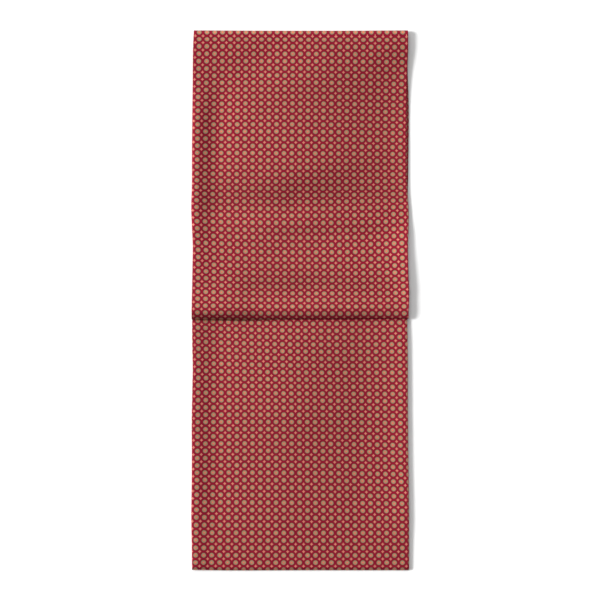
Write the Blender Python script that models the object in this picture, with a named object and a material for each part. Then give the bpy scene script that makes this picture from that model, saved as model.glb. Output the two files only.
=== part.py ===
"""A doubled silk scarf, folded flat.

The scarf is a long tube of light silk pressed flat, so it has two plies and its long sides are soft
folds. It is folded across three times: at the top, in the middle and at the bottom. Seen from above
it is one upper flap, at its full length up to the top fold, over one lower panel.

Lengths are in metres. X runs across the scarf, Y along it and Z up. The origin is on the surface
that the scarf lies on, under the middle of it.
"""

import math

import bmesh
import bpy
import numpy as np

# Driving sizes
TOP_FOLD = 0.2750
MIDDLE_FOLD = -0.0190
BOTTOM_FOLD = -0.2745
FLAP_WALL = 0.0012
PANEL_WALL = 0.0013
SEAM = 0.0003

# Each cross fold, at the middle of the wall: how deep it rolls above its tip, radius of its turn below
TOP_ROLL = 0.0032
TOP_TURN = 0.0032
MIDDLE_ROLL = 0.0060
MIDDLE_TURN = 0.0008
BOTTOM_ROLL = 0.0022
BOTTOM_TURN = 0.0008

# Where the two visible walls end inside the stack
INNER_END = -0.0080
FLAP_FLOOR_END = 0.2668
PANEL_FLOOR_END = -0.2680

# The hidden layers fill the rest, a seam away: one layer below the step and three above it
HIDDEN_TOP = FLAP_FLOOR_END - SEAM
HIDDEN_STEP = INNER_END + SEAM
HIDDEN_BOTTOM = PANEL_FLOOR_END + SEAM

# Detail of the meshes
COLUMNS = 21
COLUMN_CROWDING = 0.8
SIDE_ARC_DEGREES = (45.0, 90.0, 135.0)
LAYER_ARC_DEGREES = (-55.0, 0.0, 55.0)
TOP_FOLD_STEPS = 10
MIDDLE_FOLD_STEPS = 10
BOTTOM_FOLD_STEPS = 8

# Long sides of the upper flap: place along the scarf, left side, right side
FLAP_SIDES = (
    (0.2750, -0.1086, 0.1101),
    (0.2550, -0.1094, 0.1101),
    (0.2400, -0.1096, 0.1096),
    (0.2250, -0.1097, 0.1090),
    (0.1900, -0.1101, 0.1088),
    (0.1500, -0.1104, 0.1088),
    (0.1180, -0.1105, 0.1091),
    (0.0930, -0.1111, 0.1107),
    (0.0750, -0.1104, 0.1107),
    (0.0560, -0.1096, 0.1101),
    (0.0350, -0.1099, 0.1103),
    (0.0050, -0.1104, 0.1112),
    (-0.0140, -0.1107, 0.1107),
)

# Long sides of the lower panel: place along the scarf, left side, right side
PANEL_SIDES = (
    (-0.0080, -0.1103, 0.1091),
    (-0.0460, -0.1103, 0.1097),
    (-0.0670, -0.1098, 0.1099),
    (-0.0950, -0.1103, 0.1099),
    (-0.1250, -0.1108, 0.1101),
    (-0.1600, -0.1106, 0.1104),
    (-0.1950, -0.1109, 0.1109),
    (-0.2200, -0.1112, 0.1111),
    (-0.2500, -0.1107, 0.1112),
    (-0.2745, -0.1104, 0.1112),
)

# Long sides of the layers below: place along the scarf, left side, right side
UNDER_SIDES = (
    (0.2665, -0.1084, 0.1096),
    (0.2350, -0.1088, 0.1098),
    (0.2000, -0.1091, 0.1108),
    (0.1800, -0.1096, 0.1106),
    (0.1550, -0.1098, 0.1101),
    (0.1250, -0.1097, 0.1103),
    (0.0950, -0.1102, 0.1102),
    (0.0550, -0.1090, 0.1094),
    (0.0050, -0.1098, 0.1104),
    (-0.0400, -0.1097, 0.1089),
    (-0.0950, -0.1095, 0.1092),
    (-0.1600, -0.1100, 0.1097),
    (-0.2200, -0.1104, 0.1103),
    (-0.2680, -0.1099, 0.1105),
)

# How far each hidden layer draws in from those sides, lowest layer first
LAYER_INSETS = (0.0000, 0.0005, 0.0002)
LAYER_ROUNDING = 0.0008
GROOVE_DEPTH = 0.0014

# Height of the flap's upper face along the scarf, before its creases: place, height
FLAP_CREST = (
    (0.2750, 0.0067),
    (0.2620, 0.0068),
    (0.2500, 0.0066),
    (0.2300, 0.0054),
    (0.2050, 0.0043),
    (0.1500, 0.0041),
    (0.1200, 0.0042),
    (0.0960, 0.0045),
    (0.0700, 0.0053),
    (0.0400, 0.0063),
    (0.0150, 0.0071),
    (0.0020, 0.0075),
    (-0.0060, 0.0076),
    (-0.0145, 0.0072),
)

# Creases in the flap, each with a line it lies along: the line's start x and y, its end x and y,
# the crease's width to the line's left and to its right, its fade past the ends, its rise or fall
FLAP_CREASES = (
    (-0.105, 0.185, -0.106, 0.100, 0.0110, 0.0100, 0.028, 0.0018),
    (-0.084, 0.195, -0.086, 0.125, 0.0160, 0.0120, 0.030, -0.0011),
    (-0.010, 0.222, 0.006, 0.130, 0.0580, 0.0560, 0.028, 0.0029),
    (-0.005, 0.015, 0.000, -0.020, 0.0550, 0.0600, 0.040, 0.0016),
    (0.030, 0.094, 0.090, 0.092, 0.0190, 0.0700, 0.034, -0.0020),
    (-0.080, 0.094, -0.010, 0.094, 0.0200, 0.0150, 0.020, -0.0017),
    (-0.010, 0.066, 0.072, 0.065, 0.0115, 0.0500, 0.024, -0.0014),
    (-0.045, 0.014, -0.008, 0.014, 0.0130, 0.0450, 0.018, -0.0014),
    (0.020, 0.010, 0.075, 0.008, 0.0130, 0.0450, 0.018, -0.0009),
    (-0.105, -0.008, -0.062, -0.007, 0.0180, 0.0080, 0.020, 0.0008),
    (0.113, 0.066, 0.114, -0.006, 0.0150, 0.0160, 0.014, 0.0012),
    (-0.045, 0.248, -0.034, 0.251, 0.0100, 0.0100, 0.012, -0.0005),
    (0.046, 0.249, 0.058, 0.246, 0.0100, 0.0100, 0.012, -0.0005),
)

# How far the flap's right side is pressed down: place, drop
RIGHT_PRESS = (
    (0.2750, 0.0000),
    (0.2580, 0.0002),
    (0.2440, 0.0008),
    (0.2300, 0.0012),
    (0.2000, 0.0014),
    (0.1500, 0.0014),
    (0.1300, 0.0013),
    (0.1150, 0.0008),
    (0.0950, 0.0000),
)
PRESS_REACH = 0.0450

# Height of the lower panel's upper face, before its creases: place, height
PANEL_CREST = (
    (-0.0080, 0.0023),
    (-0.0400, 0.0024),
    (-0.1000, 0.0026),
    (-0.2000, 0.0029),
    (-0.2600, 0.0035),
    (-0.2745, 0.0036),
)

# Creases in the lower panel, in the same columns
PANEL_CREASES = (
    (-0.106, -0.030, -0.106, -0.268, 0.0100, 0.0100, 0.010, 0.0010),
    (-0.083, -0.030, -0.086, -0.200, 0.0130, 0.0120, 0.030, -0.0004),
    (0.002, -0.045, -0.005, -0.110, 0.0500, 0.0600, 0.028, 0.0021),
    (-0.012, -0.150, -0.020, -0.220, 0.0450, 0.0450, 0.030, 0.0007),
    (0.066, -0.030, 0.062, -0.200, 0.0160, 0.0160, 0.030, -0.0004),
    (0.113, -0.040, 0.113, -0.215, 0.0180, 0.0180, 0.030, 0.0016),
)

# How far each cross fold strays from a straight line: place across, shift along
TOP_FOLD_DRIFT = (
    (-0.111, 0.0000),
    (-0.040, -0.0003),
    (0.050, -0.0003),
    (0.111, 0.0000),
)
MIDDLE_FOLD_DRIFT = (
    (-0.111, -0.0003),
    (-0.070, -0.0008),
    (-0.020, 0.0000),
    (0.050, 0.0004),
    (0.111, 0.0007),
)
BOTTOM_FOLD_DRIFT = (
    (-0.111, 0.0003),
    (-0.080, -0.0001),
    (0.000, 0.0000),
    (0.111, 0.0000),
)

# Rows of the flap and the panel between their folds: start, end, number of rows
FLAP_STRETCHES = (
    (HIDDEN_TOP, 0.1200, 15),
    (0.1200, HIDDEN_STEP, 22),
)
PANEL_STRETCHES = (
    (INNER_END, -0.0300, 3),
    (-0.0300, -0.2500, 18),
    (-0.2500, HIDDEN_BOTTOM, 4),
)

CRIMSON = (0.36, 0.015, 0.035, 1.0)
DEEP_CRIMSON = (0.30, 0.012, 0.030, 1.0)
SHADED_CRIMSON = (0.20, 0.010, 0.022, 1.0)
SILK_ROUGHNESS = 0.45
CREASE_ANGLE_DEGREES = 50.0
MERGE_DISTANCE = 1e-6


def read_table(table, place, column):
    """Smooth curve through one column of a table, read at each place.

    Between two rows it is the cubic whose slope at each row is the slope through its neighbours.
    """
    rows = np.array(sorted(table))
    places = rows[:, 0]
    values = rows[:, column]
    slopes = np.gradient(values, places)
    place = np.clip(place, places[0], places[-1])
    start = np.clip(np.searchsorted(places, place) - 1, 0, len(places) - 2)
    span = places[start + 1] - places[start]
    share = (place - places[start]) / span
    rest = 1.0 - share
    from_start = (1.0 + 2.0 * share) * rest ** 2 * values[start]
    from_start += share * rest ** 2 * span * slopes[start]
    from_end = (3.0 - 2.0 * share) * share ** 2 * values[start + 1]
    from_end -= share ** 2 * rest * span * slopes[start + 1]
    return from_start + from_end


def creases(table, x, y):
    """Sum of soft ridges and troughs, each a bell across its line that fades past the line's ends.

    A bell is steep on one side of its line and gentle on the other where its two widths differ.
    """
    total = np.zeros(np.broadcast(x, y).shape)
    for start_x, start_y, end_x, end_y, left_width, right_width, fade, rise in table:
        length = math.hypot(end_x - start_x, end_y - start_y)
        run_x = (end_x - start_x) / length
        run_y = (end_y - start_y) / length
        along = (x - start_x) * run_x + (y - start_y) * run_y
        off = (y - start_y) * run_x - (x - start_x) * run_y
        past = np.maximum(np.maximum(-along, along - length), 0.0)
        width = np.where(off > 0.0, left_width, right_width)
        total = total + rise * np.exp(-(off / width) ** 2 - (past / fade) ** 2)
    return total


def flap_top(x, y):
    """Height of the flap's upper face: its crest, its creases and the pressed right side."""
    right = read_table(FLAP_SIDES, y, 2)
    reach = np.clip((x - right) / PRESS_REACH + 1.0, 0.0, 1.0)
    drop = read_table(RIGHT_PRESS, y, 1) * reach ** 2 * (3.0 - 2.0 * reach)
    return read_table(FLAP_CREST, y, 1) + creases(FLAP_CREASES, x, y) - drop


def panel_top(x, y):
    """Height of the lower panel's upper face: its crest and its creases."""
    return read_table(PANEL_CREST, y, 1) + creases(PANEL_CREASES, x, y)


def stretch_rows(stretches):
    """Places of the rows in a table of stretches, from the top fold down, each place once."""
    rows = [np.linspace(start, end, count) for start, end, count in stretches]
    return np.unique(np.concatenate(rows).round(7))[::-1]


def column_shares():
    """Places of the columns from side to side, 0 to 1, closer together near the sides."""
    even = np.linspace(-1.0, 1.0, COLUMNS)
    crowded = np.sin(even * math.pi / 2.0)
    return 0.5 + 0.5 * (COLUMN_CROWDING * crowded + (1.0 - COLUMN_CROWDING) * even)


def columns_at(sides, y, inset):
    """X of every column at one place along the scarf, set in from both sides."""
    left = read_table(sides, y, 1) + inset
    right = read_table(sides, y, 2) - inset
    return left + (right - left) * column_shares()


def fold_row(x, tip, roll, turn, low, high, degrees):
    """One row of a cross fold, 0 degrees at its tip and 90 at its top.

    Above the tip it is a quarter ellipse, as deep as the roll, up to the height high. Below the tip
    it is a quarter circle, of the radius turn, down to the height low. A negative roll and turn
    fold the other way along the scarf.
    """
    angle = math.radians(degrees)
    depth = roll if degrees > 0.0 else turn
    rise = high - low - abs(turn) if degrees > 0.0 else abs(turn)
    y = tip + depth * (1.0 - math.cos(angle))
    z = low + abs(turn) + rise * math.sin(angle)
    return np.column_stack(np.broadcast_arrays(x, y, z))


def flat_row(x, y, z):
    """One row of a flat stretch."""
    return np.column_stack(np.broadcast_arrays(x, y, z))


def flap_middle():
    """Middle surface of the upper flap, from its floor end over the top fold to its inner end."""
    half = 0.5 * FLAP_WALL
    rows = []
    x = columns_at(FLAP_SIDES, TOP_FOLD, half)
    tip = TOP_FOLD + read_table(TOP_FOLD_DRIFT, x, 1) - half
    rows.append(flat_row(x, FLAP_FLOOR_END, half))
    high = flap_top(x, tip - TOP_ROLL) - half
    for degrees in np.linspace(-90.0, 90.0, TOP_FOLD_STEPS + 1):
        rows.append(fold_row(x, tip, -TOP_ROLL, -TOP_TURN, half, high, degrees))

    for y in stretch_rows(FLAP_STRETCHES):
        x = columns_at(FLAP_SIDES, y, half)
        rows.append(flat_row(x, y, flap_top(x, y) - half))

    x = columns_at(FLAP_SIDES, MIDDLE_FOLD, half)
    tip = MIDDLE_FOLD + read_table(MIDDLE_FOLD_DRIFT, x, 1) + half
    high = flap_top(x, tip + MIDDLE_ROLL) - half
    low = panel_top(x, tip) + SEAM + half
    for degrees in np.linspace(90.0, -90.0, MIDDLE_FOLD_STEPS + 1):
        rows.append(fold_row(x, tip, MIDDLE_ROLL, MIDDLE_TURN, low, high, degrees))
    x = columns_at(FLAP_SIDES, INNER_END, half)
    rows.append(flat_row(x, INNER_END, panel_top(x, INNER_END) + SEAM + half))
    return np.array(rows)


def panel_middle():
    """Middle surface of the lower panel, from its inner end round the bottom fold to the floor."""
    half = 0.5 * PANEL_WALL
    rows = []
    for y in stretch_rows(PANEL_STRETCHES):
        x = columns_at(PANEL_SIDES, y, half)
        rows.append(flat_row(x, y, panel_top(x, y) - half))

    x = columns_at(PANEL_SIDES, BOTTOM_FOLD, half)
    tip = BOTTOM_FOLD + read_table(BOTTOM_FOLD_DRIFT, x, 1) + half
    high = panel_top(x, tip + BOTTOM_ROLL) - half
    for degrees in np.linspace(90.0, -90.0, BOTTOM_FOLD_STEPS + 1):
        rows.append(fold_row(x, tip, BOTTOM_ROLL, BOTTOM_TURN, half, high, degrees))
    x = columns_at(PANEL_SIDES, PANEL_FLOOR_END, half)
    rows.append(flat_row(x, PANEL_FLOOR_END, half))
    return np.array(rows)


def directions(middle, axis):
    """Direction of a surface along one of its axes: the mean of the steps before and after."""
    steps = np.diff(middle, axis=axis)
    steps /= np.linalg.norm(steps, axis=2, keepdims=True)
    first = steps.take([0], axis=axis)
    last = steps.take([-1], axis=axis)
    return np.concatenate((first, steps), axis=axis) + np.concatenate((steps, last), axis=axis)


def wall_rings(middle, thickness):
    """Rings round a cloth wall: its middle surface moved out and in, with half-round long sides."""
    outward = np.cross(directions(middle, 0), directions(middle, 1))
    outward /= np.linalg.norm(outward, axis=2, keepdims=True)
    outer = middle + 0.5 * thickness * outward
    inner = middle - 0.5 * thickness * outward

    right_arc = []
    left_arc = []
    sideways = np.array((1.0, 0.0, 0.0))
    for degrees in SIDE_ARC_DEGREES:
        up = 0.5 * thickness * math.cos(math.radians(degrees))
        out = 0.5 * thickness * math.sin(math.radians(degrees))
        right_arc.append(middle[:, -1] + up * outward[:, -1] + out * sideways)
        left_arc.append(middle[:, 0] - up * outward[:, 0] - out * sideways)
    right_arc = np.array(right_arc).swapaxes(0, 1)
    left_arc = np.array(left_arc).swapaxes(0, 1)
    return np.concatenate((outer, right_arc, inner[:, ::-1], left_arc), axis=1)


def bridge(mesh, first, second):
    """Faces between two rings of equal length."""
    count = len(first)
    for index in range(count):
        following = (index + 1) % count
        mesh.faces.new((first[index], first[following], second[following], second[index]))


def wall_cap(mesh, ring, flip):
    """Face across the end of a wall, as a strip of short faces from its outer to its inner skin."""
    arc = len(SIDE_ARC_DEGREES)
    outer = ring[:COLUMNS]
    inner = ring[COLUMNS + arc:2 * COLUMNS + arc][::-1]
    faces = []
    for index in range(COLUMNS - 1):
        faces.append((outer[index], inner[index], inner[index + 1], outer[index + 1]))
    faces.append((outer[-1], inner[-1]) + tuple(ring[COLUMNS:COLUMNS + arc][::-1]))
    faces.append((inner[0], outer[0]) + tuple(ring[2 * COLUMNS + arc:][::-1]))
    for face in faces:
        mesh.faces.new(face[::-1] if flip else face)


def wall_mesh(middle, thickness):
    """Closed wall of cloth along its middle surface."""
    mesh = bmesh.new()
    rings = [[mesh.verts.new(point) for point in ring] for ring in wall_rings(middle, thickness)]
    for first, second in zip(rings, rings[1:]):
        bridge(mesh, first, second)
    wall_cap(mesh, rings[0], True)
    wall_cap(mesh, rings[-1], False)
    return mesh


def under_flap(x, y):
    """Height of the hidden layers under the flap, a seam below its underside."""
    return flap_top(x, y) - FLAP_WALL - SEAM


def under_panel(x, y):
    """Height of the hidden layer under the panel, a seam below its underside."""
    return panel_top(x, y) - PANEL_WALL - SEAM


def layer_side(y, side, low, high, inset):
    """Half-round side of one hidden layer between two heights, from its lower to its upper edge."""
    edge = read_table(UNDER_SIDES, y, 1 if side < 0 else 2) - side * inset
    half = 0.5 * (high - low)
    points = []
    for degrees in LAYER_ARC_DEGREES:
        angle = math.radians(degrees)
        x = edge - side * LAYER_ROUNDING * (1.0 - math.cos(angle))
        points.append((x, y, low + half + half * math.sin(angle)))
    return points


def layer_heights(x, y, layers):
    """Heights between the hidden layers at one side, from the floor up."""
    if layers == 1:
        return 0.0, float(under_panel(x, y))
    top = float(under_flap(x, y))
    first = min(float(under_panel(x, y)), top / 3.0)
    return 0.0, first, 0.5 * (first + top), top


def hidden_section(y, layers):
    """Ring round the hidden layers: flat base, right side, upper face and left side."""
    ends = {-1: read_table(UNDER_SIDES, y, 1) + GROOVE_DEPTH,
            1: read_table(UNDER_SIDES, y, 2) - GROOVE_DEPTH}
    base = [(x, y, 0.0) for x in np.linspace(ends[-1], ends[1], COLUMNS)]
    sides = {}
    for side, groove in ends.items():
        heights = layer_heights(groove, y, layers)
        points = layer_side(y, side, heights[0], heights[1], LAYER_INSETS[0])
        for layer in range(1, layers):
            points.append((groove, y, heights[layer]))
            points += layer_side(y, side, heights[layer], heights[layer + 1], LAYER_INSETS[layer])
        sides[side] = points

    if layers == 1:
        inner = columns_at(PANEL_SIDES, y, 0.5 * PANEL_WALL)[1:-1]
        x = np.concatenate(((ends[-1],), inner, (ends[1],)))
        z = under_panel(x, y)
    else:
        inner = columns_at(FLAP_SIDES, y, 0.5 * FLAP_WALL)[1:-1]
        x = np.concatenate(((ends[-1],), inner, (ends[1],)))
        z = under_flap(x, y)
    upper = [(across, y, height) for across, height in zip(x, z)]
    return base + sides[1] + upper[::-1] + sides[-1][::-1]


def section_rows(ring):
    """Base, upper face, right side and left side of a section, as rows of its vertices.

    The two faces run from right to left, and the two sides from the base up to the upper face.
    """
    corner = len(ring) // 2 + 1
    lower = ring[:COLUMNS][::-1]
    upper = ring[corner - 1:corner - 1 + COLUMNS]
    right = ring[COLUMNS - 1:corner]
    left = ring[:1] + ring[corner + COLUMNS - 2:][::-1]
    return lower, upper, right, left


def fill_between(mesh, lower, upper, sides):
    """Faces from a lower row up to an upper row, with a half-round face for each layer's side."""
    for index in range(1, COLUMNS - 2):
        mesh.faces.new((lower[index], lower[index + 1], upper[index + 1], upper[index]))
    step = len(LAYER_ARC_DEGREES) + 1
    for side, beside in zip(sides, (1, COLUMNS - 2)):
        for groove in range(0, len(side) - 1, step):
            mesh.faces.new(side[groove:groove + step + 1])
            mesh.faces.new((lower[beside], side[groove], side[groove + step]))
        mesh.faces.new((lower[beside], side[-1], upper[beside]))


def hidden_mesh():
    """Closed solid of the hidden layers: one layer under the panel and three under the flap."""
    mesh = bmesh.new()
    flap_rows = stretch_rows(FLAP_STRETCHES)[::-1]
    panel_rows = stretch_rows(PANEL_STRETCHES)[::-1]
    panel_rows[-1] = HIDDEN_STEP
    lofts = []
    for layers, rows in ((1, panel_rows), (3, flap_rows)):
        rings = [[mesh.verts.new(point) for point in hidden_section(y, layers)] for y in rows]
        for first, second in zip(rings, rings[1:]):
            bridge(mesh, second, first)
        lofts.append(rings)

    for ring in (lofts[0][0], lofts[1][-1]):
        lower, upper, right, left = section_rows(ring)
        fill_between(mesh, lower, upper, (right, left))

    # The step from one layer to three runs between the two upper faces, above the lowest layer's sides
    small_upper = section_rows(lofts[0][-1])[1]
    lower, upper, right, left = section_rows(lofts[1][0])
    above = len(LAYER_ARC_DEGREES) + 1
    fill_between(mesh, small_upper, upper, (right[above:], left[above:]))
    bmesh.ops.remove_doubles(mesh, verts=mesh.verts, dist=MERGE_DISTANCE)
    return mesh


def silk(name, colour):
    """Matt satin silk in one plain colour."""
    material = bpy.data.materials.new(name)
    material.use_nodes = True
    shader = material.node_tree.nodes["Principled BSDF"]
    shader.inputs["Base Color"].default_value = colour
    shader.inputs["Roughness"].default_value = SILK_ROUGHNESS
    shader.inputs["Metallic"].default_value = 0.0
    return material


def add_piece(name, mesh, material, collection):
    """Object of the finished mesh, smooth but for its sharp edges."""
    bmesh.ops.recalc_face_normals(mesh, faces=mesh.faces)
    data = bpy.data.meshes.new(name)
    mesh.to_mesh(data)
    mesh.free()
    data.materials.append(material)
    data.shade_smooth()
    data.set_sharp_from_angle(angle=math.radians(CREASE_ANGLE_DEGREES))
    piece = bpy.data.objects.new(name, data)
    collection.objects.link(piece)
    return piece


def build_scarf():
    """The three pieces of the folded scarf."""
    for old in list(bpy.data.objects):
        bpy.data.objects.remove(old, do_unlink=True)
    scarf = bpy.data.collections.new("silk_scarf")
    bpy.context.scene.collection.children.link(scarf)

    flap = wall_mesh(flap_middle(), FLAP_WALL)
    add_piece("upper_flap", flap, silk("flap_silk", CRIMSON), scarf)
    panel = wall_mesh(panel_middle(), PANEL_WALL)
    add_piece("lower_panel", panel, silk("panel_silk", DEEP_CRIMSON), scarf)
    add_piece("hidden_layers", hidden_mesh(), silk("hidden_silk", SHADED_CRIMSON), scarf)


build_scarf()
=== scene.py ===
# %% [markdown]
# # A doubled silk scarf, folded flat
#
# The real scarf is one length of printed silk twill, seamed into a long tube and pressed flat. It is
# folded across three times and laid on a table: one upper flap over one lower panel, with the rest of
# the cloth hidden between them. This lesson dresses the plain solids of such a scarf. Each stretch of
# the tube is a numpy surface, and its print is drawn by a material in repeats of the pattern.

# %% Load the frame
import math

import bpy
import numpy as np
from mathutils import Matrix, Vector


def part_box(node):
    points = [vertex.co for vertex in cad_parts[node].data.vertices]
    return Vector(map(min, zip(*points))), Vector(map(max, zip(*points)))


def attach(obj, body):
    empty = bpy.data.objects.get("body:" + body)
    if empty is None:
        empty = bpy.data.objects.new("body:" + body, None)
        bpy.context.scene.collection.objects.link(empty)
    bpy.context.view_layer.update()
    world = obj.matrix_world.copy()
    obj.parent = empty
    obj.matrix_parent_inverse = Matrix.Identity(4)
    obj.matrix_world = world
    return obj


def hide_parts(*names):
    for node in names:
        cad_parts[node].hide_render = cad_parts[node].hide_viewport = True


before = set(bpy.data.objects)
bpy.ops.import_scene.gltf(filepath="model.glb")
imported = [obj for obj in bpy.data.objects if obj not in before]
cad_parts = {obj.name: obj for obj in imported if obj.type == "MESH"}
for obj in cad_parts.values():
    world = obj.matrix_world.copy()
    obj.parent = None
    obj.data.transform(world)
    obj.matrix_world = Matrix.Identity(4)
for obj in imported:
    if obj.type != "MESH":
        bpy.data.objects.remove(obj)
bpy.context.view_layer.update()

# %% [markdown]
# ## Smooth curves from short tables
#
# A hand-laid fold is never quite straight, so the scarf's edges, heights and print all wander a little.
# Each is written as a short table with a place in its first column. One could join the rows with
# straight lines, but cloth has no corners, so a cubic with matching slopes joins them here.

# %% Read a table as a smooth curve


def read_table(table, place, column=1):
    """Curve through one column of a table: between two rows, the cubic whose slope at each of them is
    the slope through its neighbours. Beyond the ends it keeps the last value."""
    rows = np.array(sorted(table))
    places, values = rows[:, 0], rows[:, column]
    slopes = np.gradient(values, places)
    place = np.clip(place, places[0], places[-1])
    start = np.clip(np.searchsorted(places, place) - 1, 0, len(places) - 2)
    span = places[start + 1] - places[start]
    share = (place - places[start]) / span
    rest = 1.0 - share
    from_start = rest ** 2 * ((1.0 + 2.0 * share) * values[start] + share * span * slopes[start])
    from_end = share ** 2 * ((3.0 - 2.0 * share) * values[start + 1] - rest * span * slopes[start + 1])
    return from_start + from_end


# %% [markdown]
# ## Creases
#
# Pressed silk keeps soft dents where it was folded before. Noise would give them everywhere alike, so
# each one is listed: a line with a bell-shaped rise or fall across it, which may be steep on
# one side of the line and gentle on the other.

# %% Sum the creases of a table


def creases(table, x, y):
    """Height of all ridges and troughs at x, y. Each is rise * exp(-(off / width) squared) at a
    distance off its line, with one width to the left of the line and another to its right. Past the
    line's ends it fades by exp(-(past / fade) squared)."""
    total = np.zeros(np.broadcast(x, y).shape)
    for start_x, start_y, end_x, end_y, left_width, right_width, fade, rise in table:
        length = math.hypot(end_x - start_x, end_y - start_y)
        run_x, run_y = (end_x - start_x) / length, (end_y - start_y) / length
        along = (x - start_x) * run_x + (y - start_y) * run_y
        off = (y - start_y) * run_x - (x - start_x) * run_y
        past = np.maximum(np.maximum(-along, along - length), 0.0)
        width = np.where(off > 0.0, left_width, right_width)
        total += rise * np.exp(-(off / width) ** 2 - (past / fade) ** 2)
    return total


# %% [markdown]
# ## The upper flap's form
#
# The flap lies over three hidden layers, so it is 7 to 10 mm high at its folds and lower between them.
# Its right side is pressed down over a stretch near the top. The widths come from tables of its two
# long sides, and a height above the table is one function of x and y.

# %% Sizes of the flap
FLAP_WALL = 0.0012

# Long sides of the upper flap: place along the scarf, left side, right side
FLAP_SIDES = (
    (0.2750, -0.1086, 0.1101),
    (0.2550, -0.1094, 0.1101),
    (0.2400, -0.1096, 0.1096),
    (0.2250, -0.1097, 0.1090),
    (0.1900, -0.1101, 0.1088),
    (0.1500, -0.1104, 0.1088),
    (0.1180, -0.1105, 0.1091),
    (0.0930, -0.1111, 0.1107),
    (0.0750, -0.1104, 0.1107),
    (0.0560, -0.1096, 0.1101),
    (0.0350, -0.1099, 0.1103),
    (0.0050, -0.1104, 0.1112),
    (-0.0140, -0.1107, 0.1107),
)

# Height of the flap's upper face along the scarf, before its creases: place, height
FLAP_CREST = (
    (0.2750, 0.0067),
    (0.2620, 0.0068),
    (0.2500, 0.0066),
    (0.2300, 0.0054),
    (0.2050, 0.0043),
    (0.1500, 0.0041),
    (0.1200, 0.0042),
    (0.0960, 0.0047),
    (0.0700, 0.0055),
    (0.0400, 0.0065),
    (0.0150, 0.0074),
    (0.0020, 0.0081),
    (-0.0085, 0.0088),
)

# Creases in the flap, each with a line it lies along: the line's start x and y, its end x and y,
# the crease's width to the line's left and to its right, its fade past the ends, its rise or fall
FLAP_CREASES = (
    (-0.105, 0.185, -0.106, 0.100, 0.0110, 0.0100, 0.028, 0.0022),
    (-0.084, 0.195, -0.086, 0.150, 0.0160, 0.0120, 0.025, -0.0011),
    (-0.105, 0.075, -0.105, 0.030, 0.0110, 0.0110, 0.020, 0.0008),
    (-0.010, 0.214, 0.006, 0.138, 0.0630, 0.0600, 0.026, 0.0026),
    (-0.005, 0.015, 0.000, -0.020, 0.0550, 0.0600, 0.040, 0.0016),
    (0.030, 0.095, 0.090, 0.093, 0.0210, 0.0700, 0.034, -0.0024),
    (-0.080, 0.096, -0.010, 0.096, 0.0220, 0.0150, 0.020, -0.0020),
    (-0.010, 0.066, 0.072, 0.065, 0.0115, 0.0500, 0.024, -0.0014),
    (-0.045, 0.008, -0.005, 0.008, 0.0150, 0.0220, 0.018, -0.0024),
    (0.020, 0.008, 0.095, 0.004, 0.0150, 0.0260, 0.018, -0.0018),
    (-0.105, -0.008, -0.062, -0.007, 0.0180, 0.0080, 0.020, 0.0014),
    (0.113, 0.215, 0.113, 0.135, 0.0150, 0.0150, 0.020, 0.0011),
    (0.113, 0.066, 0.114, 0.014, 0.0150, 0.0160, 0.012, 0.0012),
    (-0.045, 0.248, -0.034, 0.251, 0.0100, 0.0100, 0.012, -0.0005),
    (0.046, 0.249, 0.058, 0.246, 0.0100, 0.0100, 0.012, -0.0005),
)

# How far the flap's right side is pressed down: place, drop
RIGHT_PRESS = (
    (0.2750, 0.0000),
    (0.2580, 0.0003),
    (0.2440, 0.0012),
    (0.2300, 0.0018),
    (0.2000, 0.0022),
    (0.1500, 0.0022),
    (0.1300, 0.0020),
    (0.1150, 0.0012),
    (0.0950, 0.0000),
)
PRESS_REACH = 0.0850


def flap_top(x, y):
    """Height of the flap's upper face: its crest and creases, less the pressed right side, which
    falls over the last 85 mm as a smooth step 3 s squared - 2 s cubed."""
    step = np.clip((x - read_table(FLAP_SIDES, y, 2)) / PRESS_REACH + 1.0, 0.0, 1.0)
    drop = read_table(RIGHT_PRESS, y) * step ** 2 * (3.0 - 2.0 * step)
    return read_table(FLAP_CREST, y) + creases(FLAP_CREASES, x, y) - drop


print("The flap is", round(1000 * float(flap_top(0.0, 0.15)), 1), "mm high at its middle")

# %% [markdown]
# ## The lower panel's form
#
# Below the flap only one hidden layer is left under the cloth, so the panel is about half as high. It
# is pressed flatter too, and its creases run along it.

# %% Sizes of the panel
PANEL_WALL = 0.0013

# Long sides of the lower panel: place along the scarf, left side, right side
PANEL_SIDES = (
    (-0.0080, -0.1103, 0.1091),
    (-0.0460, -0.1103, 0.1097),
    (-0.0670, -0.1098, 0.1099),
    (-0.0950, -0.1103, 0.1099),
    (-0.1250, -0.1108, 0.1101),
    (-0.1600, -0.1106, 0.1104),
    (-0.1950, -0.1109, 0.1109),
    (-0.2200, -0.1112, 0.1111),
    (-0.2500, -0.1107, 0.1112),
    (-0.2745, -0.1104, 0.1112),
)

# Height of the lower panel's upper face, before its creases: place, height
PANEL_CREST = (
    (-0.0080, 0.0023),
    (-0.0400, 0.0024),
    (-0.1000, 0.0026),
    (-0.2000, 0.0029),
    (-0.2600, 0.0035),
    (-0.2745, 0.0036),
)

# Creases in the lower panel, in the same columns
PANEL_CREASES = (
    (-0.106, -0.030, -0.106, -0.268, 0.0100, 0.0100, 0.010, 0.0010),
    (-0.083, -0.030, -0.086, -0.200, 0.0130, 0.0120, 0.030, -0.0004),
    (0.002, -0.045, -0.005, -0.110, 0.0500, 0.0600, 0.028, 0.0021),
    (-0.012, -0.150, -0.020, -0.220, 0.0450, 0.0450, 0.030, 0.0007),
    (0.066, -0.030, 0.062, -0.200, 0.0160, 0.0160, 0.030, -0.0004),
    (0.113, -0.040, 0.113, -0.215, 0.0180, 0.0180, 0.030, 0.0016),
)


def panel_top(x, y):
    """Height of the panel's upper face: its crest and its creases."""
    return read_table(PANEL_CREST, y) + creases(PANEL_CREASES, x, y)


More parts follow.
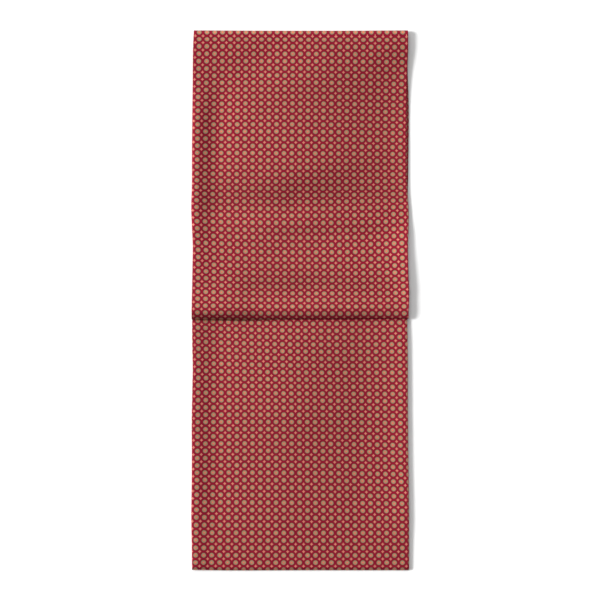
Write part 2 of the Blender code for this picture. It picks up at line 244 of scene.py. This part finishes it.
print("The panel is", round(1000 * float(panel_top(0.0, -0.15)), 1), "mm high at its middle")

# %% [markdown]
# ## Rows and folds
#
# A stretch of cloth is a grid of points: rows along the scarf, columns across it. A flat stretch takes
# its heights from the functions above. A pressed fold is rounder on top than below, so its upper half
# is a quarter ellipse and its lower half a quarter circle.

# %% Lay out columns, flat rows and folds
COLUMNS = 88
COLUMN_CROWDING = 0.8
ROW_STEP = 0.0018
FOLD_ROWS = 27
BOTTOM_FOLD_ROWS = 21

even = np.linspace(-1.0, 1.0, COLUMNS)
COLUMN_SHARES = 0.5 + 0.5 * (COLUMN_CROWDING * np.sin(even * math.pi / 2.0)
                             + (1.0 - COLUMN_CROWDING) * even)


def columns_at(sides, y, inset):
    """X of every column at each place: from side to side, less an inset, closer near the sides."""
    left = read_table(sides, y, 1) + inset
    right = read_table(sides, y, 2) - inset
    return left + (right - left) * COLUMN_SHARES


def rows_between(start, end, step):
    """Places of flat rows from start to end, as a column, a step apart or a little less."""
    return np.linspace(start, end, 2 + int(abs(end - start) / step))[:, None]


def grid(x, y, z):
    """Points of a grid from x, y and z, each given for all points or for whole rows or columns."""
    return np.stack(np.broadcast_arrays(x, y, z), axis=-1)


def fold(x, tip, roll, turn, low, high, degrees):
    """Rows of a fold, 0 degrees at its tip and 90 at its top. With a the angle, y is the tip plus
    roll * (1 - cos a) above the tip or turn * (1 - cos a) below it, and z rises with sin a from the
    tip up to high and falls down to low. A negative roll and turn fold the other way."""
    angle = np.radians(degrees)[:, None]
    above = angle > 0.0
    rise = np.where(above, high - low - abs(turn), abs(turn))
    y = tip + np.where(above, roll, turn) * (1.0 - np.cos(angle))
    return grid(x, y, low + abs(turn) + rise * np.sin(angle))


print(COLUMNS, "columns across each ply")

# %% [markdown]
# ## The middle of each visible stretch
#
# The flap comes up from the floor round a full-height fold at the top, runs down over the stack and
# turns under at the middle fold. The panel comes out from under it and turns down to the floor at the
# bottom fold. Each is built as the surface midway between its two plies.

# %% Middle surfaces of the flap and the panel
flap_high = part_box("upper_flap")[1]
hidden_low, hidden_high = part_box("hidden_layers")

# Places of the folds along the scarf. The cloth's top fold stands a little past that of its solid
TOP_PROUD = 0.0010
TOP_FOLD = flap_high.y + TOP_PROUD
BOTTOM_FOLD = -0.2751
MIDDLE_FOLD = -0.0190

# The gap between two stretches, how far each fold reaches along the scarf above and below its tip, and
# the gap between a fold and the nearest flat row
SEAM = 0.0003
TOP_ROLL = 0.0032
TOP_TURN = 0.0032
MIDDLE_ROLL = 0.0100
MIDDLE_TURN = 0.0007
BOTTOM_ROLL = 0.0022
BOTTOM_TURN = 0.0008
FOLD_CLEARANCE = 0.0012

# Places where the stretches end, out of sight
FLAP_FLOOR_END = 0.2668
INNER_END = -0.0080
PANEL_FLOOR_END = -0.2680

# How far each fold strays from a straight line: place across, shift along
TOP_FOLD_DRIFT = (
    (-0.111, 0.0000),
    (-0.040, -0.0003),
    (0.050, -0.0003),
    (0.111, 0.0000),
)
MIDDLE_FOLD_DRIFT = (
    (-0.111, -0.0003),
    (-0.070, -0.0008),
    (-0.020, 0.0000),
    (0.050, 0.0004),
    (0.111, 0.0007),
)
BOTTOM_FOLD_DRIFT = (
    (-0.111, 0.0003),
    (-0.080, -0.0001),
    (0.000, 0.0000),
    (0.111, 0.0000),
)


def flap_middle():
    """Middle surface of the flap, and its first and last flat rows: the floor end, the top fold, the
    flat rows, the middle fold and the inner end, one after another."""
    half = 0.5 * FLAP_WALL
    x = columns_at(FLAP_SIDES, TOP_FOLD, half)
    tip = TOP_FOLD + read_table(TOP_FOLD_DRIFT, x) - half
    start = grid(x, np.array([[FLAP_FLOOR_END]]), half)
    high = flap_top(x, tip - TOP_ROLL) - half
    top_fold = fold(x, tip, -TOP_ROLL, -TOP_TURN, half, high, np.linspace(-90.0, 90.0, FOLD_ROWS))

    y = rows_between(TOP_FOLD - half - TOP_ROLL - FOLD_CLEARANCE,
                     MIDDLE_FOLD + half + MIDDLE_ROLL + FOLD_CLEARANCE, ROW_STEP)
    flat_x = columns_at(FLAP_SIDES, y, half)
    flat = grid(flat_x, y, flap_top(flat_x, y) - half)

    x = columns_at(FLAP_SIDES, MIDDLE_FOLD, half)
    tip = MIDDLE_FOLD + read_table(MIDDLE_FOLD_DRIFT, x) + half
    high = flap_top(x, tip + MIDDLE_ROLL) - half
    low = panel_top(x, tip) + SEAM + half
    angles = np.linspace(90.0, -90.0, FOLD_ROWS)
    middle_fold = fold(x, tip, MIDDLE_ROLL, MIDDLE_TURN, low, high, angles)
    end = grid(x, np.array([[INNER_END]]), panel_top(x, INNER_END) + SEAM + half)
    first = len(start) + len(top_fold)
    rows = np.concatenate((start, top_fold, flat, middle_fold, end))
    return rows, first, first + len(flat) - 1


def panel_middle():
    """Middle surface of the panel, and its first and last flat rows: the flat rows from under the
    flap, the bottom fold and the floor end."""
    half = 0.5 * PANEL_WALL
    y = rows_between(INNER_END, BOTTOM_FOLD + half + BOTTOM_ROLL + FOLD_CLEARANCE, ROW_STEP)
    flat_x = columns_at(PANEL_SIDES, y, half)
    flat = grid(flat_x, y, panel_top(flat_x, y) - half)

    x = columns_at(PANEL_SIDES, BOTTOM_FOLD, half)
    tip = BOTTOM_FOLD + read_table(BOTTOM_FOLD_DRIFT, x) + half
    high = panel_top(x, tip + BOTTOM_ROLL) - half
    angles = np.linspace(90.0, -90.0, BOTTOM_FOLD_ROWS)
    bottom_fold = fold(x, tip, BOTTOM_ROLL, BOTTOM_TURN, half, high, angles)
    end = grid(x, np.array([[PANEL_FLOOR_END]]), half)
    return np.concatenate((flat, bottom_fold, end)), 0, len(flat) - 1


flap_rows, flap_first, flap_last = flap_middle()
panel_rows, panel_first, panel_last = panel_middle()
print("The flap has", len(flap_rows), "rows and the panel", len(panel_rows))

# %% [markdown]
# ## From a surface to a flattened tube
#
# A doubled scarf is a tube, so every stretch has an upper and a lower ply that meet in soft folds at
# its long sides. One could thicken a flat sheet with Solidify, but then its sides would be cut edges.
# Here each row becomes a ring: across the upper ply, round the right side, back along the lower ply
# and round the left side. The ring is drawn twice, a silk's thickness apart, as its outside and inside.

# %% Plies and rings
SILK = 0.00016
THIN_SHARE = 0.3
ARC_STEPS = 7
arc_angles = np.linspace(0.0, math.pi, ARC_STEPS + 2)[1:-1, None]


def directions(points, axis):
    """Direction of a grid along one axis: the mean of the unit steps before and after each point."""
    steps = np.diff(points, axis=axis)
    steps /= np.linalg.norm(steps, axis=2, keepdims=True)
    first, last = steps.take([0], axis=axis), steps.take([-1], axis=axis)
    return np.concatenate((first, steps), axis=axis) + np.concatenate((steps, last), axis=axis)


def plies(middle, wall):
    """Upper and lower faces of a wall: its middle moved half the wall out and in along its normal,
    the cross product of its two directions."""
    normal = np.cross(directions(middle, 0), directions(middle, 1))
    normal *= 0.5 * wall / np.linalg.norm(normal, axis=2, keepdims=True)
    return middle + normal, middle - normal


def rings(upper, lower, inset):
    """Rings round a tube, an inset inside its faces, but at most THIN_SHARE of the way between its
    plies. Each side is a half circle round the middle of the two: up * cos(angle) + sideways *
    sin(angle), with up half the way between them."""
    across = upper - lower
    apart = np.linalg.norm(across, axis=2, keepdims=True)
    across *= np.minimum(inset, THIN_SHARE * apart) / apart
    upper, lower = upper - across, lower + across
    sides = []
    for column, sideways in ((-1, 1.0), (0, -1.0)):
        centre = 0.5 * (upper + lower)[:, column, None]
        up = 0.5 * (upper - lower)[:, column, None] * sideways
        out = np.linalg.norm(up, axis=2, keepdims=True) * np.array((sideways, 0.0, 0.0))
        sides.append(centre + up * np.cos(arc_angles) + out * np.sin(arc_angles))
    return np.concatenate((upper, sides[0], lower[:, ::-1], sides[1]), axis=1)


def tube_faces(rows, columns):
    """Quads of a grid that closes on itself both ways, as four corner numbers a face: from each point
    to the next row, the next column there, and back."""
    row, column = np.meshgrid(np.arange(rows), np.arange(columns), indexing="ij")
    next_row, next_column = (row + 1) % rows, (column + 1) % columns
    corners = ((row, column), (next_row, column), (next_row, next_column), (row, next_column))
    return np.stack([r * columns + c for r, c in corners], axis=-1).reshape(-1, 4)


print("A ring has", 2 * COLUMNS + 2 * ARC_STEPS, "points")

# %% [markdown]
# ## Where the print lies
#
# The print is a small foulard: 27 columns of dots across the folded width. It was laid by hand and
# pressed, so its columns wander by up to 3 mm and its rows bow. Projecting a flat pattern from above
# would smear it down the folds. A UV map in repeats follows the cloth instead: one unit is one dot to
# the next, across the tube and along it.

# %% Repeats across and along the cloth
REPEAT_ACROSS = 0.0080
REPEAT_ALONG = 0.0072
REPEATS_AROUND = 55.0
MIDDLE_COLUMN = 13.0

# How far out the outermost columns of dots lie, and how many repeats go round each long side
SIDE_COLUMN = 0.104
SIDE_TURN = 0.24

# Number of the print's row at each place along the flap, and along the panel
FLAP_PRINT_ROWS = (
    (0.2700, -0.62),
    (0.2663, 0.0),
    (0.2590, 1.0),
    (0.2369, 4.0),
    (0.2083, 8.0),
    (0.1798, 12.0),
    (0.1503, 16.0),
    (0.1216, 20.0),
    (0.0941, 24.0),
    (0.0643, 28.0),
    (0.0348, 32.0),
    (0.0075, 36.0),
    (-0.0126, 39.0),
)
PANEL_PRINT_ROWS = (
    (-0.0080, -2.2),
    (-0.0234, 0.0),
    (-0.0517, 4.0),
    (-0.0803, 8.0),
    (-0.1090, 12.0),
    (-0.1384, 16.0),
    (-0.1681, 20.0),
    (-0.1985, 24.0),
    (-0.2292, 28.0),
    (-0.2672, 33.0),
    (-0.2723, 33.7),
)

# How far the print's columns stray sideways: place, left, middle, right
FLAP_PRINT_DRIFT = (
    (0.266, 0.0010, 0.0005, 0.0005),
    (0.215, 0.0000, 0.0002, -0.0008),
    (0.140, -0.0010, -0.0007, -0.0018),
    (0.095, -0.0015, -0.0007, -0.0010),
    (0.049, 0.0000, 0.0002, 0.0000),
    (-0.013, -0.0007, 0.0003, 0.0020),
)
PANEL_PRINT_DRIFT = (
    (-0.022, -0.0005, -0.0026, -0.0026),
    (-0.050, 0.0002, -0.0024, -0.0024),
    (-0.100, -0.0003, -0.0010, -0.0016),
    (-0.160, -0.0010, -0.0007, -0.0016),
    (-0.215, -0.0018, -0.0005, 0.0000),
    (-0.267, -0.0028, -0.0006, 0.0003),
)

# How far the print's rows are pulled down at the sides: place, left, middle, right
FLAP_PRINT_BOW = (
    (0.265, -0.0005, 0.0, 0.0003),
    (0.205, 0.0004, 0.0, 0.0016),
    (0.165, -0.0004, 0.0, 0.0013),
    (0.120, -0.0013, 0.0, -0.0009),
    (0.090, -0.0015, 0.0, -0.0018),
    (0.060, -0.0025, 0.0, -0.0020),
    (0.030, -0.0025, 0.0, -0.0012),
    (-0.010, -0.0008, 0.0, 0.0000),
)
PANEL_PRINT_BOW = (
    (-0.023, -0.0030, 0.0, -0.0013),
    (-0.052, -0.0028, 0.0, 0.0000),
    (-0.075, -0.0018, 0.0, 0.0002),
    (-0.110, -0.0001, 0.0, 0.0010),
    (-0.160, 0.0000, 0.0, 0.0018),
    (-0.200, -0.0006, 0.0, 0.0010),
    (-0.245, -0.0002, 0.0, 0.0000),
)


def stray(table, x, y):
    """Shift at x, y from a table of left, middle and right shifts: the parabola through the three."""
    left, middle, right = (read_table(table, y, column) for column in (1, 2, 3))
    side = x / SIDE_COLUMN
    return middle + 0.5 * (right - left) * side + (0.5 * (left + right) - middle) * side ** 2


def repeats_along(middle, first, last, rows, bow):
    """Row of the print at each point: on the flat rows from the table, at y plus the bow. On the folds
    it goes on by the length walked along the cloth, one row for each repeat."""
    y = middle[..., 1] + stray(bow, middle[..., 0], middle[..., 1])
    along = read_table(rows, y)
    steps = np.linalg.norm(np.diff(middle, axis=0), axis=2) / REPEAT_ALONG
    walked = np.concatenate((np.zeros((1, middle.shape[1])), np.cumsum(steps, axis=0)))
    along[:first] = along[first] - walked[first] + walked[:first]
    along[last + 1:] = along[last] + walked[last + 1:] - walked[last]
    return along


def repeats_around(across):
    """Columns of the print round a ring, from those across its upper ply: half round the right side,
    back along the lower ply and half round the left side, 55 repeats in all."""
    left, right = across[:, :1], across[:, -1:]
    turn = np.linspace(0.0, SIDE_TURN, ARC_STEPS + 2)[None, 1:-1]
    start, end = right + SIDE_TURN, left + REPEATS_AROUND - SIDE_TURN
    back = start + (end - start) * (right - across[:, ::-1]) / (right - left)
    return np.concatenate((across, right + turn, back, end + turn), axis=1)


flap_along = repeats_along(flap_rows, flap_first, flap_last, FLAP_PRINT_ROWS, FLAP_PRINT_BOW)
print("The flap's cloth holds", round(float(np.ptp(flap_along[:, 0])), 1), "rows of dots")

# %% [markdown]
# ## Mesh of a tube
#
# The outside runs from the first row to the last, and the inside comes back, so one grid that closes
# on itself both ways makes the whole tube with its two rims. Its corners carry the print's UV map.

# %% Make a tube


def add_tube(name, upper, lower, across, along):
    """Closed tube between an upper and a lower ply: the outer rings in order and the inner rings in
    reverse, joined as one grid. The UV map repeats_around gives is one turn on where a ring closes."""
    outer, inner = rings(upper, lower, 0.0), rings(upper, lower, SILK)
    points = np.concatenate((outer, inner[::-1]))
    row_count, column_count = points.shape[:2]
    faces = tube_faces(row_count, column_count)

    around = repeats_around(across)
    rows = np.concatenate((along, np.repeat(along[:, -1:], ARC_STEPS, 1), along[:, ::-1],
                           np.repeat(along[:, :1], ARC_STEPS, 1)), axis=1)
    print_map = np.stack((around, rows), axis=-1)
    print_map = np.concatenate((print_map, print_map[::-1])).reshape(-1, 2)[faces]
    closing = faces[:, 0] % column_count == column_count - 1
    print_map[closing, 2:, 0] += REPEATS_AROUND

    mesh = bpy.data.meshes.new(name)
    mesh.from_pydata(points.reshape(-1, 3).tolist(), [], faces.tolist())
    mesh.uv_layers.new(name="print").data.foreach_set("uv", print_map.astype(np.float32).ravel())
    mesh.shade_smooth()
    piece = bpy.data.objects.new(name, mesh)
    bpy.context.scene.collection.objects.link(piece)
    print(name, "has", 2 * len(faces), "triangles")
    return piece


# %% [markdown]
# ## The two visible stretches
#
# Both are tubes on the forms above, and their print runs over every fold.

# %% Upper flap
upper, lower = plies(flap_rows, FLAP_WALL)
flap_across = (upper[..., 0] - stray(FLAP_PRINT_DRIFT, upper[..., 0], upper[..., 1])) / REPEAT_ACROSS
flap_cloth = add_tube("flap_cloth", upper, lower, flap_across + MIDDLE_COLUMN, flap_along)

# %% Lower panel
upper, lower = plies(panel_rows, PANEL_WALL)
panel_across = (upper[..., 0] - stray(PANEL_PRINT_DRIFT, upper[..., 0], upper[..., 1])) / REPEAT_ACROSS
panel_along = repeats_along(panel_rows, panel_first, panel_last, PANEL_PRINT_ROWS, PANEL_PRINT_BOW)
panel_cloth = add_tube("panel_cloth", upper, lower, panel_across + MIDDLE_COLUMN, panel_along)

# %% [markdown]
# ## The hidden layers
#
# Only their long sides show, as soft folds that are stacked a little unevenly. The solid there is one
# body, but the real layers are separate, so three tubes take its place: one along the whole scarf and
# two more under the flap.

# %% Hidden layers
HIDDEN_STEP = INNER_END + SEAM
LAYER_GAP = 0.0001
LAYER_ROW_STEP = 0.0030
FLOOR_INSET = 0.0009
SECOND_INSET = 0.0014
THIRD_INSET = 0.0011

# Long sides of the layers below: place along the scarf, left side, right side
UNDER_SIDES = (
    (0.2665, -0.1084, 0.1096),
    (0.2350, -0.1088, 0.1103),
    (0.2000, -0.1091, 0.1115),
    (0.1800, -0.1096, 0.1116),
    (0.1550, -0.1098, 0.1113),
    (0.1250, -0.1097, 0.1109),
    (0.0950, -0.1102, 0.1104),
    (0.0550, -0.1090, 0.1094),
    (0.0050, -0.1098, 0.1104),
    (-0.0400, -0.1097, 0.1089),
    (-0.0950, -0.1095, 0.1092),
    (-0.1600, -0.1100, 0.1097),
    (-0.2200, -0.1104, 0.1103),
    (-0.2680, -0.1099, 0.1105),
)


def layer_heights(x, y):
    """Heights between the hidden layers at x, y: the floor, the top of the first layer, which is the
    panel's underside or a third of the stack, halfway to the top, and the flap's underside."""
    top = flap_top(x, y) - FLAP_WALL - SEAM
    under_panel = panel_top(x, y) - PANEL_WALL - SEAM
    first = np.where(y < HIDDEN_STEP, under_panel, np.minimum(under_panel, top / 3.0))
    return np.zeros_like(first), first, 0.5 * (first + top), top


def add_layer(name, level, start, end, inset):
    """Tube of one hidden layer between two of those heights, drawn in from the sides by an inset."""
    y = rows_between(start, end, LAYER_ROW_STEP)
    x = columns_at(UNDER_SIDES, y, inset)
    heights = layer_heights(x, y)
    upper = grid(x, y, heights[level + 1] - LAYER_GAP)
    lower = grid(x, y, heights[level])
    across = x / REPEAT_ACROSS + MIDDLE_COLUMN
    return add_tube(name, upper, lower, across, np.broadcast_to(-y / REPEAT_ALONG, x.shape))


floor_layer = add_layer("floor_layer", 0, hidden_high.y, hidden_low.y, FLOOR_INSET)
second_layer = add_layer("second_layer", 1, hidden_high.y, HIDDEN_STEP, SECOND_INSET)
third_layer = add_layer("third_layer", 2, hidden_high.y, HIDDEN_STEP, THIRD_INSET)

# %% [markdown]
# ## Shader maths as Python
#
# Nodes can be placed by hand in the editor, but a pattern of many small steps reads better as sums.
# A field below is one output socket, and adding or multiplying fields adds the Math nodes for it.

# %% Fields and finishes


class Field:
    """What one output socket of a node gives over a surface."""

    def __init__(self, finish, socket):
        self.finish = finish
        self.socket = socket

    def math(self, operation, first, second=0.0):
        """Field of one Math node on two fields or numbers."""
        return self.finish.node("ShaderNodeMath", {"operation": operation}, {0: first, 1: second})

    def __add__(self, other):
        return self.math("ADD", self, other)

    def __sub__(self, other):
        return self.math("SUBTRACT", self, other)

    def __rsub__(self, other):
        return self.math("SUBTRACT", other, self)

    def __mul__(self, other):
        return self.math("MULTIPLY", self, other)

    def __truediv__(self, other):
        return self.math("DIVIDE", self, other)

    def __pow__(self, other):
        return self.math("POWER", self, other)

    def __abs__(self):
        return self.math("ABSOLUTE", self)

    __radd__ = __add__
    __rmul__ = __mul__


class Finish:
    """A material that is made node by node."""

    def __init__(self, name):
        self.material = bpy.data.materials.new(name)
        self.material.use_nodes = True
        self.tree = self.material.node_tree
        self.shader = self.tree.nodes["Principled BSDF"]

    def node(self, kind, settings=(), sockets=(), output=0):
        """Field of a new node: its settings are set first, then the values or links of its sockets."""
        made = self.tree.nodes.new(kind)
        for name, value in dict(settings).items():
            setattr(made, name, value)
        for name, value in dict(sockets).items():
            self.fill(made.inputs[name], value)
        return Field(self, made.outputs[output])

    def fill(self, socket, value):
        """Links a field to a socket, or sets its value."""
        if isinstance(value, Field):
            self.tree.links.new(value.socket, socket)
        else:
            socket.default_value = value

    def inside(self, distance, edge, blur):
        """Mask that is 1 within an edge and 0 outside it, with a smooth step as wide as the blur."""
        return self.node("ShaderNodeMapRange", {"interpolation_type": "SMOOTHSTEP"},
                         {"Value": distance, "From Min": edge - 0.5 * blur,
                          "From Max": edge + 0.5 * blur, "To Min": 1.0, "To Max": 0.0})

    def mix(self, mask, under, over):
        """Colour that goes from under to over as the mask goes from 0 to 1."""
        return self.node("ShaderNodeMix", {"data_type": "RGBA"}, {0: mask, 6: under, 7: over}, 2)


def srgb(red, green, blue):
    """Linear colour of a red, green and blue of 0 to 255, as a picture editor gives them."""
    shares = np.array((red, green, blue)) / 255.0
    linear = np.where(shares <= 0.04045, shares / 12.92, ((shares + 0.055) / 1.055) ** 2.4)
    return (*linear.tolist(), 1.0)


print("Fields and finishes are ready")

# %% [markdown]
# ## Printed silk
#
# The repeat is charted in millimetres from the centre of a dot: a coral spot in a taupe ring with a
# thin dark outline, on crimson. In the middle of every four dots is a small four-petalled coral
# motif. An image would be limited by its pixels, so sums of distances draw it at any scale. Fine
# diagonal lines of the twill keep the silk from looking like plastic. They are bumped, and they are
# also painted into the colour as shade in their grooves and light on their ridges. Slightly uneven dye
# helps too.

# %% Charted repeat and finish
CRIMSON = srgb(141, 21, 46)
OUTLINE = srgb(74, 44, 42)
TAUPE = srgb(164, 132, 106)
CORAL = srgb(228, 114, 80)
MOTIF_CORAL = srgb(206, 131, 110)

# The repeat in millimetres, charted a little longer than it is laid, so its dots are wider than long
ACROSS_MM = 1000.0 * REPEAT_ACROSS
ALONG_MM = 7.6
OUTLINE_RADIUS = 2.75
RING_RADIUS = 2.35
SPOT_RADIUS = 0.85
PETAL_MIDDLE = 0.72
PETAL_LENGTH = 0.80
PETAL_WIDTH = 0.50
PRINT_BLUR = 0.35

# Where a petal ends and how wide its blur is, as shares of its length and width
PETAL_EDGE = 1.0
PETAL_BLUR = 0.5

# How uneven the dots' edges are, in millimetres, and how finely
WOBBLE = 0.5
WOBBLE_SCALE = 3.1
WOBBLE_DETAIL = 2.0

SILK_ROUGHNESS = 0.5
SILK_METALLIC = 0.8
SILK_SPECULAR = 0.20
TWILL_PITCH = 0.55
TWILL_DEPTH = 0.00003
TWILL_BUMP = 0.6

# The colour is multiplied by a mean shade, give or take painted shade and light along the twill's lines
# and the uneven dye
MEAN_SHADE = 0.94
TWILL_PAINTED_SHADE = 0.03
DYE_SHADE = 0.35
DYE_SCALE = 1.3
DYE_DETAIL = 4.0


def printed_silk():
    """Material of the scarf."""
    silk = Finish("printed_silk")
    place = silk.node("ShaderNodeUVMap", {"uv_map": "print"})
    across = silk.node("ShaderNodeSeparateXYZ", (), {0: place})
    along = Field(silk, across.socket.node.outputs[1])

    def from_nearest(count, size):
        """Distance in mm to the nearest whole repeat: (fraction(count + 1/2) - 1/2) * size."""
        return (silk.node("ShaderNodeMath", {"operation": "FRACT"}, {0: count + 0.5}) - 0.5) * size

    # The dot, with the dye's edge slightly uneven
    wobble = silk.node("ShaderNodeTexNoise", (),
                       {"Vector": place, "Scale": WOBBLE_SCALE, "Detail": WOBBLE_DETAIL})
    dot_x = from_nearest(across, ACROSS_MM)
    dot_y = from_nearest(along, ALONG_MM)
    radius = (dot_x * dot_x + dot_y * dot_y) ** 0.5 + (wobble - 0.5) * WOBBLE
    outline = silk.inside(radius, OUTLINE_RADIUS, PRINT_BLUR)
    ring = silk.inside(radius, RING_RADIUS, PRINT_BLUR)
    spot = silk.inside(radius, SPOT_RADIUS, PRINT_BLUR)

    # The motif between four dots: an ellipse for each petal, mirrored onto one
    side_x = abs(from_nearest(across + 0.5, ACROSS_MM))
    side_y = abs(from_nearest(along + 0.5, ALONG_MM))
    longer = side_x.math("MAXIMUM", side_x, side_y)
    shorter = side_x.math("MINIMUM", side_x, side_y)
    petal_x = (longer - PETAL_MIDDLE) / PETAL_LENGTH
    petal_y = shorter / PETAL_WIDTH
    petal = silk.inside((petal_x * petal_x + petal_y * petal_y) ** 0.5, PETAL_EDGE, PETAL_BLUR)

    colour = silk.mix(outline, CRIMSON, OUTLINE)
    colour = silk.mix(ring, colour, TAUPE)
    colour = silk.mix(spot, colour, CORAL)
    colour = silk.mix(petal, colour, MOTIF_CORAL)

    # Twill lines run diagonally through the threads. Their height bumps the surface, and it also paints
    # shade into their grooves and light onto their ridges
    lines = (across * ACROSS_MM + along * ALONG_MM) * (2.0 * math.pi / TWILL_PITCH)
    twill = silk.node("ShaderNodeMath", {"operation": "SINE"}, {0: lines})
    dye = silk.node("ShaderNodeTexNoise", (),
                    {"Vector": place, "Scale": DYE_SCALE, "Detail": DYE_DETAIL})
    # Painted shade in the twill's grooves and painted light on its ridges, with the mean shade and the
    # uneven dye
    shade = MEAN_SHADE + twill * TWILL_PAINTED_SHADE + (dye - 0.5) * DYE_SHADE
    grey = silk.node("ShaderNodeCombineColor", (), {0: shade, 1: shade, 2: shade})
    colour = silk.node("ShaderNodeMix", {"data_type": "RGBA", "blend_type": "MULTIPLY"},
                       {0: 1.0, 6: colour, 7: grey}, 2)

    silk.fill(silk.shader.inputs["Base Color"], colour)
    silk.fill(silk.shader.inputs["Roughness"], SILK_ROUGHNESS)
    silk.fill(silk.shader.inputs["Metallic"], SILK_METALLIC)
    silk.fill(silk.shader.inputs["Specular IOR Level"], SILK_SPECULAR)
    bump = silk.node("ShaderNodeBump", (),
                     {"Strength": TWILL_BUMP, "Distance": TWILL_DEPTH, "Height": twill})
    silk.fill(silk.shader.inputs["Normal"], bump)
    return silk.material


scarf_silk = printed_silk()
for piece in (flap_cloth, panel_cloth, floor_layer, second_layer, third_layer):
    piece.data.materials.append(scarf_silk)
print("The silk's material has", len(scarf_silk.node_tree.nodes), "nodes")

# %% [markdown]
# ## Attach each piece to the scarf's body
#
# Every piece rides on the scarf's one body and stands for a solid of the frame, which is hidden. The
# cut of each stretch is the tube's 0.44 m all round by its length along the cloth. The length, how each
# is held and what lies under it are listed but not passed on.


def walked_length(rows):
    """Length of a stretch along its middle column."""
    middle = rows[:, rows.shape[1] // 2]
    return float(np.linalg.norm(np.diff(middle, axis=0), axis=1).sum())


stretches = (
    (flap_cloth, "upper_flap", walked_length(flap_rows), "folded", ["third_layer"]),
    (panel_cloth, "lower_panel", walked_length(panel_rows), "folded", ["floor_layer"]),
    (floor_layer, "hidden_layers", hidden_high.y - hidden_low.y, "laid", []),
    (second_layer, "hidden_layers", hidden_high.y - HIDDEN_STEP, "laid", ["floor_layer"]),
    (third_layer, "hidden_layers", hidden_high.y - HIDDEN_STEP, "laid", ["second_layer"]),
)
for piece, node, length, held, under in stretches:
    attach(piece, "root")
    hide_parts(node)

# %% [markdown]
# ## Floor, light and camera
#
# The scarf lies on a plain white floor. A lamp stands low on the left, so each crease has a lit and a
# shaded side and the shadow falls to the right. A second one, wide and soft, shines from beyond the
# scarf's top and leaves the folds that face away dark. The camera looks straight down through a long
# lens, which keeps the sides parallel.

# %% Floor
FLOOR_SIZE = 12.0
FLOOR_WHITE = 0.82

bpy.ops.mesh.primitive_plane_add(size=FLOOR_SIZE, location=(0.0, 0.0, 0.0))
floor = bpy.context.object
floor.name = "floor"
paper = Finish("white_floor")
paper.fill(paper.shader.inputs["Base Color"], (FLOOR_WHITE, FLOOR_WHITE, FLOOR_WHITE, 1.0))
paper.fill(paper.shader.inputs["Roughness"], 1.0)
paper.fill(paper.shader.inputs["Specular IOR Level"], 0.0)
floor.data.materials.append(paper.material)
print("The floor is", FLOOR_SIZE, "m wide")

# %% Light

# Each lamp's height in degrees, its turn from the left, its strength and its width in degrees
KEY_ELEVATION = 33.0
KEY_TURN = 6.0
KEY_STRENGTH = 4.9
KEY_SPREAD = 24.0
FILL_ELEVATION = 42.0
FILL_TURN = 90.0
FILL_STRENGTH = 2.35
FILL_SPREAD = 80.0
SKY_STRENGTH = 0.12


def add_sun(name, elevation, turn, strength, spread):
    """Sun that shines from the left, turned towards the top of the scarf by so many degrees."""
    height, turn = math.radians(elevation), math.radians(turn)
    towards = Vector((-math.cos(height) * math.cos(turn), math.cos(height) * math.sin(turn),
                      math.sin(height)))
    data = bpy.data.lights.new(name, "SUN")
    data.energy = strength
    data.angle = math.radians(spread)
    lamp = bpy.data.objects.new(name, data)
    lamp.rotation_mode = "QUATERNION"
    lamp.rotation_quaternion = (-towards).to_track_quat("-Z", "Y")
    bpy.context.scene.collection.objects.link(lamp)


add_sun("key_light", KEY_ELEVATION, KEY_TURN, KEY_STRENGTH, KEY_SPREAD)
add_sun("fill_light", FILL_ELEVATION, FILL_TURN, FILL_STRENGTH, FILL_SPREAD)
world = bpy.data.worlds.new("white_studio")
world.use_nodes = True
world.node_tree.nodes["Background"].inputs["Color"].default_value = (1.0, 1.0, 1.0, 1.0)
world.node_tree.nodes["Background"].inputs["Strength"].default_value = SKY_STRENGTH
bpy.context.scene.world = world
bpy.context.scene.view_settings.view_transform = "Standard"
print("Two suns and a white sky")

# %% Camera
LENS = 200.0
SENSOR = 36.0
VIEW_WIDTH = 0.612
VIEW_CENTRE = (-0.0002, 0.0008)
CLOTH_LEVEL = 0.005

camera_data = bpy.data.cameras.new("camera")
camera_data.lens = LENS
camera_data.sensor_width = SENSOR
camera = bpy.data.objects.new("camera", camera_data)
camera.location = (*VIEW_CENTRE, CLOTH_LEVEL + VIEW_WIDTH * LENS / SENSOR)
bpy.context.scene.collection.objects.link(camera)
bpy.context.scene.camera = camera
print("The camera is", round(camera.location.z, 2), "m up")
